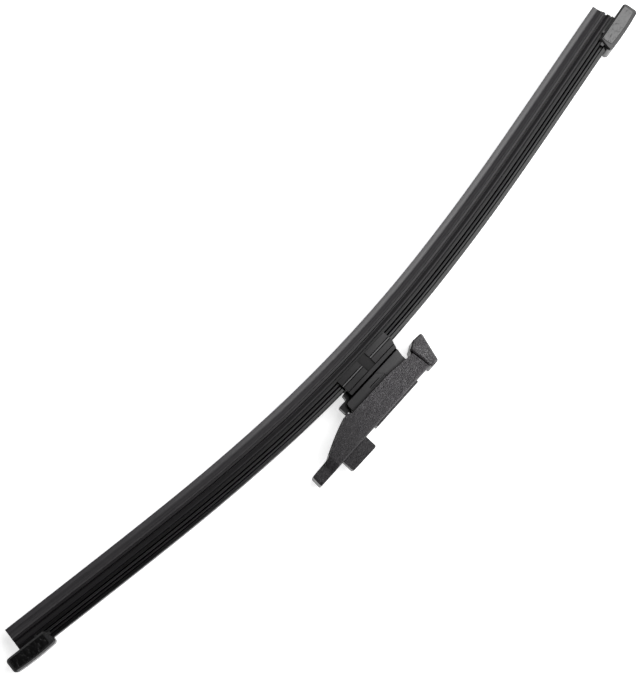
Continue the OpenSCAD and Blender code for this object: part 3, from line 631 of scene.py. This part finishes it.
@dataclass
class Bow:
    """The line of the lip's tip, and the tree that sweeps a section along it."""

    runs: tuple[Run, ...] = (Run(530 * MM, 46 * MM), Run(850 * MM, 46 * MM), Run(2600 * MM, 32 * MM))
    key_top: float = 13.0 * MM
    ring_step: float = 2.5 * MM
    datum: Vector = field(init=False)
    tree: Tree = field(init=False)

    def __post_init__(self) -> None:
        """Finds the lip's tip at mid-length, and builds the tree."""
        low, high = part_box("wiper_rubber")
        self.datum = Vector((0, high.y - self.key_top, (low.z + high.z) / 2))
        self.tree = self._sweep_tree()

    def _path(self, tree: Tree, station: Socket) -> tuple[Socket, ...]:
        """Adds the nodes that bend a straight line into the bow.

        Args:
            tree: The tree under construction.
            station: Way from mid-length along the lip, negative on the nose side.

        Returns:
            Sockets of the place along X and Y.
        """
        way = tree.math("ABSOLUTE", station)
        turned: object = 0.0
        x: object = 0.0
        y: object = 0.0
        for run in self.runs:
            here = tree.math("MINIMUM", way, run.length)
            after = tree.math("ADD", turned, tree.math("DIVIDE", here, run.radius))
            step_x = tree.math("SUBTRACT", tree.math("SINE", after), tree.math("SINE", turned))
            step_y = tree.math("SUBTRACT", tree.math("COSINE", after), tree.math("COSINE", turned))
            x = tree.math("ADD", x, tree.math("MULTIPLY", step_x, run.radius))
            y = tree.math("ADD", y, tree.math("MULTIPLY", step_y, run.radius))
            way = tree.math("SUBTRACT", way, here)
            turned = after
        x = tree.math("ADD", x, tree.math("MULTIPLY", way, tree.math("COSINE", turned)))
        y = tree.math("SUBTRACT", y, tree.math("MULTIPLY", way, tree.math("SINE", turned)))
        return tree.math("MULTIPLY", x, tree.math("SIGN", station)), y

    def _sweep_tree(self) -> Tree:
        """Builds the tree that turns a section's outline into the swept solid.

        Returns:
            The tree.
        """
        tree = Tree("bow_sweep")
        start = tree.size("Start")
        end = tree.size("End")
        step = tree.size("Ring Step")
        datum = tree.size("Datum", "NodeSocketVector")
        dressing = tree.size("Material", "NodeSocketMaterial")
        length = tree.math("SUBTRACT", end, start)
        rings = tree.math("ADD", tree.math("CEIL", tree.math("DIVIDE", length, step)), 1.0)
        line = tree.node("GeometryNodeCurvePrimitiveLine")
        even = tree.node("GeometryNodeResampleCurve", {"Curve": line.outputs["Curve"], "Count": rings})
        share = tree.node("GeometryNodeSplineParameter").outputs["Factor"]
        station = tree.math("ADD", start, tree.math("MULTIPLY", length, share))
        x, y = self._path(tree, station)
        place = tree.node("ShaderNodeCombineXYZ", {"X": x, "Y": y})
        moved = tree.node("ShaderNodeVectorMath", {0: place.outputs[0], 1: datum}, operation="ADD")
        marked = tree.node("GeometryNodeStoreNamedAttribute",
                           {"Geometry": even.outputs[0], "Name": "along", "Value": station},
                           data_type="FLOAT", domain="POINT")
        bent = tree.node("GeometryNodeSetPosition",
                         {"Geometry": marked.outputs[0], "Position": moved.outputs[0]})
        level = tree.node("GeometryNodeSetCurveNormal", {"Curve": bent.outputs[0]}, mode="Z_UP")
        section = tree.node("GeometryNodeMeshToCurve", {"Mesh": tree.source.outputs["Geometry"]})
        swept = tree.node("GeometryNodeCurveToMesh", {
            "Curve": level.outputs[0], "Profile Curve": section.outputs[0], "Fill Caps": True})
        along = tree.node("GeometryNodeInputNamedAttribute", {"Name": "along"}, data_type="FLOAT")
        across = tree.node("GeometryNodeInputNamedAttribute", {"Name": "across"}, data_type="FLOAT")
        unrolled = tree.node("ShaderNodeCombineXYZ", {"X": along.outputs[0], "Y": across.outputs[0]})
        mapped = tree.node("GeometryNodeStoreNamedAttribute",
                           {"Geometry": swept.outputs[0], "Name": "UVMap", "Value": unrolled.outputs[0]},
                           data_type="FLOAT2", domain="CORNER")
        real = tree.node("GeometryNodeRealizeInstances", {"Geometry": mapped.outputs[0]})
        dressed = tree.node("GeometryNodeSetMaterial", {"Geometry": real.outputs[0], "Material": dressing})
        tree.group.links.new(dressed.outputs[0], tree.result.inputs[0])
        return tree

    def sweep(self, name: str, half: list[Point], start: float, end: float,
              material: bpy.types.Material, centre: float = 0.0) -> bpy.types.Object:
        """Sweeps a section along the bow.

        Args:
            name: Name of the new piece.
            half: Height and half width at rising heights, in metres.
            start: Station of the first end.
            end: Station of the second end.
            material: The piece's material.
            centre: Place of the section's middle across the blade.

        Returns:
            The swept piece, as a plain mesh.
        """
        outline = closed_outline(half)
        across = [0.0]
        for before, after in zip(half, half[1:]):
            across.append(across[-1] + math.dist(before, after))
        mesh = bpy.data.meshes.new(name)
        mesh.from_pydata([(-h, -w - centre, 0) for h, w in outline],
                         [(i, (i + 1) % len(outline)) for i in range(len(outline))], [])
        marks = mesh.attributes.new("across", "FLOAT", "POINT")
        marks.data.foreach_set("value", across + across[::-1])
        piece = bpy.data.objects.new(name, mesh)
        bpy.context.scene.collection.objects.link(piece)
        modifier = piece.modifiers.new("sweep", "NODES")
        modifier.node_group = self.tree.group
        values = {"Start": start, "End": end, "Ring Step": self.ring_step,
                  "Datum": self.datum, "Material": material}
        for key, value in values.items():
            modifier[self.tree.sockets[key]] = value
        bake(piece)
        shade(piece, SHARP_ANGLE)
        return piece


def closed_outline(half: list[Point]) -> list[Point]:
    """Mirrors a half section into a closed outline.

    Args:
        half: Points of one side, from the lowest height to the highest.

    Returns:
        Points round the whole section.
    """
    return half + [(h, -w) for h, w in reversed(half)]


def rounded(path: list[Corner], steps: int = 4) -> list[Point]:
    """Rounds the inner corners of an open path.

    Args:
        path: Points that each hold both coordinates and the radius of their corner.
        steps: Number of edges in a full corner.

    Returns:
        The path with arcs in place of its corners.
    """
    out: list[Point] = [path[0][:2]]
    for before, here, after in zip(path, path[1:], path[2:]):
        at = Vector(here[:2])
        back = Vector(before[:2]) - at
        on = Vector(after[:2]) - at
        radius = here[2]
        if radius <= 0 or min(back.length, on.length) < TINY:
            out.append(here[:2])
            continue
        bend = back.angle(on) / 2
        reach = 0.0
        if bend < math.pi / 2 - NEARLY_STRAIGHT:
            reach = min(radius / math.tan(bend), back.length / 2, on.length / 2)
        first = at + back.normalized() * reach
        last = at + on.normalized() * reach
        for i in range(steps + 1):
            t = i / steps
            out.append(tuple(first * (1 - t) ** 2 + at * 2 * t * (1 - t) + last * t ** 2))
    out.append(path[-1][:2])
    return out


def bake(piece: bpy.types.Object) -> None:
    """Turns a piece's modifiers into a plain mesh.

    Args:
        piece: The piece, which keeps its name.
    """
    bpy.context.view_layer.update()
    graph = bpy.context.evaluated_depsgraph_get()
    made = bpy.data.meshes.new_from_object(
        piece.evaluated_get(graph), preserve_all_data_layers=True, depsgraph=graph)
    piece.modifiers.clear()
    old = piece.data
    piece.data = made
    made.name = piece.name
    bpy.data.meshes.remove(old)


def shade(piece: bpy.types.Object, angle: float) -> None:
    """Shades a piece smooth, apart from its sharp edges.

    Args:
        piece: The piece.
        angle: Edges that turn by more than this many degrees stay sharp.
    """
    piece.data.shade_smooth()
    piece.data.set_sharp_from_angle(angle=math.radians(angle))


def softened(node: str, name: str, width: float, segments: int = 3, angle: float = 30) -> bpy.types.Object:
    """Copies a node of the frame and rounds its edges.

    Args:
        node: Name of the node.
        name: Name of the new piece.
        width: Width of the rounding.
        segments: Number of faces across it.
        angle: Edges that turn by more than this many degrees are rounded.

    Returns:
        The new piece, which stands for the node.
    """
    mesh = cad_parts[node].data.copy()
    mesh.name = name
    mesh.materials.clear()
    work = bmesh.new()
    work.from_mesh(mesh)
    bmesh.ops.remove_doubles(work, verts=work.verts, dist=WELD_DISTANCE)
    bmesh.ops.dissolve_limit(work, angle_limit=math.radians(FLAT_ANGLE), verts=work.verts, edges=work.edges)
    work.to_mesh(mesh)
    work.free()
    for layer in list(mesh.attributes):
        if layer.name == "custom_normal":
            mesh.attributes.remove(layer)
    mesh.shade_smooth()
    piece = bpy.data.objects.new(name, mesh)
    bpy.context.scene.collection.objects.link(piece)
    bevel = piece.modifiers.new("edges", "BEVEL")
    bevel.limit_method = "ANGLE"
    bevel.angle_limit = math.radians(angle)
    bevel.width = width
    bevel.segments = segments
    bevel.miter_outer = "MITER_ARC"
    bevel.use_clamp_overlap = True
    bevel.harden_normals = True
    even = piece.modifiers.new("flat_faces", "WEIGHTED_NORMAL")
    even.weight = 100
    even.keep_sharp = True
    bake(piece)
    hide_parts(node)
    return piece


@dataclass
class SubAssembly:
    """What all parts of the blade share: the bow, the finishes and how a piece is handed in."""

    bow: Bow
    palette: Palette

    def hand_in(self, piece: bpy.types.Object, finish: Finish, body: str) -> None:
        """Makes a piece ride on its body and reports it.

        Args:
            piece: The finished piece.
            finish: The finish of the piece, whose grain is logged.
            body: Name of the body.
        """
        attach(piece, body)
        log.info("%s: %d faces, %s", piece.name, len(piece.data.polygons), finish.grain.value)


@dataclass
class WipingRubber(SubAssembly):
    """The rubber: lip, hollow flank, shoulder, web, flanges, side slots and key."""

    half_len: float = 165 * MM
    lip_h: float = 1.7
    flank_h: float = 2.8
    shoulder_h: float = 1.0
    web_h: float = 0.65
    keel_h: float = 1.75
    groove_h: float = 0.25
    ledge_h: float = 1.1
    slot_h: float = 1.8
    cap_flange_h: float = 0.8
    key_neck_h: float = 0.75
    key_head_h: float = 0.4
    lip_half: float = 0.4
    lip_root_half: float = 0.5
    shoulder_half: float = 2.2
    web_half: float = 0.55
    keel_half: float = 2.9
    ledge_half: float = 3.6
    groove_half: float = 2.0
    core_half: float = 1.1
    cap_flange_half: float = 3.7
    key_neck_half: float = 0.7
    key_head_half: float = 1.5
    rail_room: float = 1.2
    bed_reach: float = 1.0
    shoulder_lip: float = 0.1
    keel_lip: float = 0.5
    keel_share: float = 0.6
    draft: float = 0.05
    lead: float = 0.03
    key_slant: float = 0.1
    flank_steps: int = 14

    def section(self) -> list[Point]:
        """Works out half of the section, whose path holds heights, half widths and corner radii.

        Returns:
            Its points from the lip's tip to the key, in metres.
        """
        flank_top = self.lip_h + self.flank_h
        shoulder_top = flank_top + self.shoulder_h
        keel_low = shoulder_top + self.web_h
        keel_top = keel_low + self.keel_h
        ledge_low = keel_top + self.groove_h
        slot_low = ledge_low + self.ledge_h
        slot_top = slot_low + self.slot_h
        slot_mid = (slot_low + slot_top) / 2
        neck_low = slot_top + self.cap_flange_h
        head_low = neck_low + self.key_neck_h
        key_top = head_low + self.key_head_h
        bed = self.core_half + self.bed_reach
        shoulder_out = self.shoulder_half + self.shoulder_lip
        room = self.rail_room / 2
        rise = self.shoulder_half - self.lip_root_half
        flank_r = (self.flank_h ** 2 + rise ** 2) / (2 * rise)
        swing = math.asin(self.flank_h / flank_r)
        path = [(0.0, 0.0, 0.0), (0.0, self.lip_half, 0.03)]
        for i in range(self.flank_steps + 1):
            angle = swing * i / self.flank_steps
            path.append((self.lip_h + flank_r * math.sin(angle),
                         self.lip_root_half + flank_r * (1 - math.cos(angle)), 0.0))
        path += [
            (flank_top + self.draft, shoulder_out, 0.15),
            (shoulder_top, shoulder_out, 0.2),
            (shoulder_top + self.draft, self.web_half, 0.12),
            (keel_low - self.draft, self.web_half, 0.12),
            (keel_low, self.keel_half - self.keel_lip, 0.15),
            (keel_low + self.keel_share * self.keel_h, self.keel_half, 0.2),
            (keel_top - self.draft, self.keel_half, 0.1),
            (keel_top, self.groove_half, 0.04),
            (ledge_low - self.draft, self.groove_half, 0.04),
            (ledge_low, self.ledge_half, 0.1),
            (slot_low, self.ledge_half, 0.14),
            (slot_mid - room, bed, 0.1),
            (slot_mid - room + self.lead, self.core_half, 0.06),
            (slot_mid + room - self.lead, self.core_half, 0.06),
            (slot_mid + room, bed, 0.1),
            (slot_top, self.cap_flange_half, 0.14),
            (neck_low, self.cap_flange_half, 0.14),
            (neck_low, self.key_neck_half, 0.08),
            (head_low, self.key_neck_half, 0.05),
            (head_low + self.lead, self.key_head_half, 0.1),
            (key_top, self.key_head_half - self.key_slant, 0.1),
            (key_top, 0.0, 0.0),
        ]
        return [(h * MM, w * MM) for h, w in rounded(path)]

    def build(self) -> None:
        """Sweeps the rubber and dresses it."""
        finish = self.palette.rubber
        end = self.half_len
        piece = self.bow.sweep("rubber_blade", self.section(), -end, end, finish.material())
        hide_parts("wiper_rubber")
        self.hand_in(piece, finish, "blade")


@dataclass
class SpringRails(SubAssembly):
    """The two rails of spring steel in the rubber's side slots."""

    reach: float = 165.5 * MM
    slot_mid: float = 10.15
    thickness: float = 0.9
    width: float = 3.6
    inner: float = 1.25
    edge: float = 0.18

    def build(self) -> None:
        """Sweeps both rails from one section."""
        finish = self.palette.rail
        material = finish.material()
        low = self.slot_mid - self.thickness / 2
        high = self.slot_mid + self.thickness / 2
        half = self.width / 2
        path = [(low, 0.0, 0.0), (low, half, self.edge), (high, half, self.edge), (high, 0.0, 0.0)]
        section = [(h * MM, w * MM) for h, w in rounded(path)]
        for name, side in (("spring_rail_lower", -1), ("spring_rail_upper", 1)):
            centre = side * (self.inner + half) * MM
            piece = self.bow.sweep(name + "_steel", section, -self.reach, self.reach, material, centre)
            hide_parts(name)
            self.hand_in(piece, finish, "blade")


@dataclass
class BackStrips(SubAssembly):
    """The strip on the blade's back, in two lengths that slide over the rubber's key."""

    nose_near: float = 13.39 * MM
    tail_near: float = 12.42 * MM
    far: float = 164 * MM
    low: float = 12.15
    height: float = 1.4
    half: float = 4.2
    edge: float = 0.35
    head_low: float = 12.6
    key_top: float = 13.0
    neck_room: float = 0.85
    head_room: float = 1.65
    clearance: float = 0.15

    def outline(self) -> list[Point]:
        """Works out half of the strip's section, which is open underneath round the key.

        Returns:
            Its points in metres.
        """
        high = self.low + self.height
        head_floor = self.head_low - self.clearance
        head_roof = self.key_top + self.clearance
        path = [
            (head_roof, 0.0, 0.0), (head_roof, self.head_room, 0.05), (head_floor, self.head_room, 0.05),
            (head_floor, self.neck_room, 0.05), (self.low, self.neck_room, 0.05),
            (self.low, self.half, 0.12), (high - self.edge, self.half, 0.18),
            (high, self.half - self.edge, 0.18), (high, 0.0, 0.0)]
        return [(h * MM, w * MM) for h, w in rounded(path)]

    def build(self) -> None:
        """Sweeps both lengths."""
        finish = self.palette.strip
        material = finish.material()
        for name, start, end in (("back_strip_nose_side", -self.far, -self.nose_near),
                                 ("back_strip_tail_side", self.tail_near, self.far)):
            piece = self.bow.sweep(name + "_profile", self.outline(), start, end, material)
            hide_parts(name)
            self.hand_in(piece, finish, "blade")


@dataclass
class EndCaps(SubAssembly):
    """The cap at each end, with a grained panel on both sides."""

    edge: float = 0.16 * MM
    half: float = 6.4 * MM
    panel_rise: float = 0.15 * MM

    def build(self) -> None:
        """Rounds both caps' edges and dresses their panels."""
        plain = self.palette.cap.material()
        grained = self.palette.panel.material()
        for name in ("end_cap_nose_side", "end_cap_tail_side"):
            piece = softened(name, name + "_shell", self.edge)
            piece.data.materials.append(plain)
            piece.data.materials.append(grained)
            middle = self.bow.datum.z
            for face in piece.data.polygons:
                if abs(face.center.z - middle) > self.half + self.panel_rise:
                    face.material_index = 1
            self.hand_in(piece, self.palette.cap, "blade")


@dataclass
class ClampBase(SubAssembly):
    """The moulding that hooks round the rails, and its steel pin."""

    edge: float = 0.10 * MM
    pin_edge: float = 0.05 * MM
    wall: float = 6.0 * MM
    shaded_mark_depth: float = 5.65 * MM
    pad: float = 6.6 * MM
    shaded_mark_area: float = 5 * MM * MM
    rib_area: float = 7 * MM * MM
    near: float = 0.02 * MM
    groove_spans: tuple[Point, ...] = ((11.1 * MM, 12.65 * MM), (14.55 * MM, 15.1 * MM))

    def _dress(self, face: bpy.types.MeshPolygon) -> int:
        """Chooses a material for one face of the clamp base.

        Args:
            face: The face.

        Returns:
            1 for painted shade inside the narrow grooves and on small faces at one set depth, 2 for a
            painted highlight on the ridge between two grooves, 0 for the rest.
        """
        depth = abs(face.center.z - self.bow.datum.z)
        height = face.center.y - self.bow.datum.y
        in_groove = any(low < height < high for low, high in self.groove_spans)
        # Painted shade: the narrow grooves take a near-black material
        if in_groove and self.wall + self.near < depth < self.pad - self.near / 4:
            return 1
        # Small faces at one set depth take the same painted shade
        if abs(depth - self.shaded_mark_depth) < self.near and face.area < self.shaded_mark_area:
            return 1
        # Painted highlight on the ridge between two grooves
        if in_groove and abs(depth - self.pad) < self.near and face.area < self.rib_area:
            return 2
        return 0

    def build(self) -> None:
        """Rounds the moulding's edges and the pin's, and dresses both, with painted shade in the moulding's
        narrow grooves and a painted highlight on the ridges between them.
        """
        for node, name, finish, width in (
                ("clamp_base", "clamp_base_moulding", self.palette.base, self.edge),
                ("pivot_pin", "pivot_pin_steel", self.palette.pin, self.pin_edge)):
            piece = softened(node, name, width)
            piece.data.materials.append(finish.material())
            if node == "clamp_base":
                piece.data.materials.append(self.palette.groove_shade.material())
                piece.data.materials.append(self.palette.rib_highlight.material())
                for face in piece.data.polygons:
                    face.material_index = self._dress(face)
            self.hand_in(piece, finish, "blade")


@dataclass
class ArmAdapter(SubAssembly):
    """The moulding that rocks on the pin and takes the wiper arm."""

    edge: float = 0.22 * MM
    waist: float = 34 * MM

    def build(self) -> None:
        """Rounds the moulding's edges and dresses it, with no painted shadow lines and a shorter painted
        crevice shade past the waist.
        """
        finish = self.palette.adapter
        piece = softened("arm_adapter", "arm_adapter_moulding", self.edge)
        piece.data.materials.append(finish.material())
        piece.data.materials.append(self.palette.tail.material())
        for face in piece.data.polygons:
            face.material_index = int(face.center.x > self.waist)
        self.hand_in(piece, finish, "adapter")


@dataclass(frozen=True)
class Softbox:
    """A rectangular studio lamp."""

    name: str
    place: tuple[float, float, float]
    aim: tuple[float, float, float]
    size: Point
    radiance: float

    def build(self) -> None:
        """Hangs the lamp, aimed at its target."""
        lamp = bpy.data.lights.new(self.name, "AREA")
        lamp.shape = "RECTANGLE"
        lamp.size, lamp.size_y = self.size
        lamp.energy = self.radiance * math.pi * self.size[0] * self.size[1]
        thing = bpy.data.objects.new(self.name, lamp)
        thing.location = self.place
        thing.rotation_euler = (Vector(self.aim) - Vector(self.place)).to_track_quat("-Z", "Y").to_euler()
        bpy.context.scene.collection.objects.link(thing)


@dataclass
class Studio:
    """White floor and surroundings, and the soft lamps."""

    floor_size: float = 12.0
    floor_tone: float = 0.80
    floor_roughness: float = 0.9
    floor_lift: float = 0.68
    far_lift: float = 0.94
    far_from: float = 0.4
    far_to: float = 1.6
    ambient: float = 0.10
    lamps: tuple[Softbox, ...] = (
        Softbox("key_softbox", (-0.43, 0.20, 0.97), (-0.43, 0.20, 0.0), (0.70, 1.0), 5.4),
        Softbox("back_softbox", (-0.05, 0.95, 0.24), (0.0, 0.0, 0.0), (1.5, 0.45), 4.5),
        Softbox("front_softbox", (0.10, -1.05, 0.70), (0.0, 0.0, 0.0), (1.0, 0.5), 0.8),
    )

    def build(self) -> None:
        """Lays the floor, sets the world and hangs the lamps."""
        self._floor()
        self._world()
        for lamp in self.lamps:
            lamp.build()

    def _seen_directly(self, shader: Shader) -> Socket:
        """Adds nodes that tell rays which show the floor itself.

        Args:
            shader: The floor's material.

        Returns:
            A socket that is 1 for camera, glossy and transmission rays.
        """
        path = shader.node("ShaderNodeLightPath")
        either = shader.math("MAXIMUM", path.outputs["Is Camera Ray"], path.outputs["Is Glossy Ray"])
        return shader.math("MAXIMUM", either, path.outputs["Is Transmission Ray"])

    def _floor(self) -> None:
        """Lays the floor, which is lifted to white where it is seen, most of all far away."""
        half = self.floor_size / 2
        mesh = bpy.data.meshes.new("floor")
        corners = [(-half, -half, 0), (half, -half, 0), (half, half, 0), (-half, half, 0)]
        mesh.from_pydata(corners, [], [(0, 1, 2, 3)])
        shader = Shader("floor_paper")
        paper = shader.surface.inputs
        paper["Base Color"].default_value = (self.floor_tone,) * 3 + (1.0,)
        paper["Roughness"].default_value = self.floor_roughness
        paper["Specular IOR Level"].default_value = 0.0
        paper["Emission Color"].default_value = WHITE
        away = shader.node("ShaderNodeVectorMath", operation="LENGTH")
        shader.feed(away.inputs[0], shader.place((1, 1, 1)))
        far = shader.spread(away.outputs["Value"], self.far_from, self.far_to,
                            (self.floor_lift, self.far_lift))
        lift = shader.math("MULTIPLY", self._seen_directly(shader), far)
        shader.feed(paper["Emission Strength"], lift)
        mesh.materials.append(shader.material)
        floor = bpy.data.objects.new("floor", mesh)
        bpy.context.scene.collection.objects.link(floor)

    def _world(self) -> None:
        """Sets a white world for the eye and a dimmer one for the light."""
        world = bpy.data.worlds.new("studio")
        world.use_nodes = True
        bpy.context.scene.world = world
        tree = world.node_tree
        tree.nodes.clear()
        path = tree.nodes.new("ShaderNodeLightPath")
        mix = tree.nodes.new("ShaderNodeMixShader")
        out = tree.nodes.new("ShaderNodeOutputWorld")
        tree.links.new(path.outputs["Is Camera Ray"], mix.inputs[0])
        for strength, socket in ((self.ambient, mix.inputs[1]), (1.0, mix.inputs[2])):
            sky = tree.nodes.new("ShaderNodeBackground")
            sky.inputs["Strength"].default_value = strength
            sky.inputs["Color"].default_value = WHITE
            tree.links.new(sky.outputs[0], socket)
        tree.links.new(mix.outputs[0], out.inputs["Surface"])


@dataclass(frozen=True)
class Viewpoint:
    """The camera, above the blade and close to square on to its side."""

    target: tuple[float, float, float] = (4.12 * MM, -6.98 * MM, 0.0)
    distance: float = 950.5 * MM
    lean_x: float = 7.83
    lean_y: float = 2.70
    roll: float = 46.72
    focal_pixels: float = 2512
    sensor_width: float = 36
    clip_start: float = 50 * MM
    clip_end: float = 20.0

    def build(self, datum: Vector) -> None:
        """Places the camera.

        Args:
            datum: The lip's tip at mid-length, from which the target is measured.
        """
        lean_x, lean_y, roll = (math.radians(angle) for angle in (self.lean_x, self.lean_y, self.roll))
        back = Vector((math.tan(lean_x), math.tan(lean_y), 1)).normalized()
        right = Vector((-math.cos(roll), math.sin(roll), 0))
        right = (right - back * right.dot(back)).normalized()
        up = back.cross(right)
        data = bpy.data.cameras.new("camera")
        data.sensor_width = self.sensor_width
        data.lens = self.focal_pixels * data.sensor_width / max(IMAGE_WIDTH, IMAGE_HEIGHT)
        data.clip_start = self.clip_start
        data.clip_end = self.clip_end
        camera = bpy.data.objects.new("camera", data)
        axes = Matrix((right, up, back)).transposed().to_4x4()
        camera.matrix_world = Matrix.Translation(datum + Vector(self.target) + back * self.distance) @ axes
        bpy.context.scene.collection.objects.link(camera)
        bpy.context.scene.camera = camera


def main() -> None:
    """Builds the blade, the studio and the camera."""
    logging.basicConfig(level=logging.INFO, format="%(name)s: %(message)s")
    bpy.context.scene.view_settings.view_transform = "Standard"
    bow = Bow()
    palette = Palette()
    for part in (WipingRubber, SpringRails, BackStrips, EndCaps, ClampBase, ArmAdapter):
        part(bow, palette).build()
    Studio().build()
    Viewpoint().build(bow.datum)


if __name__ == "__main__":
    main()
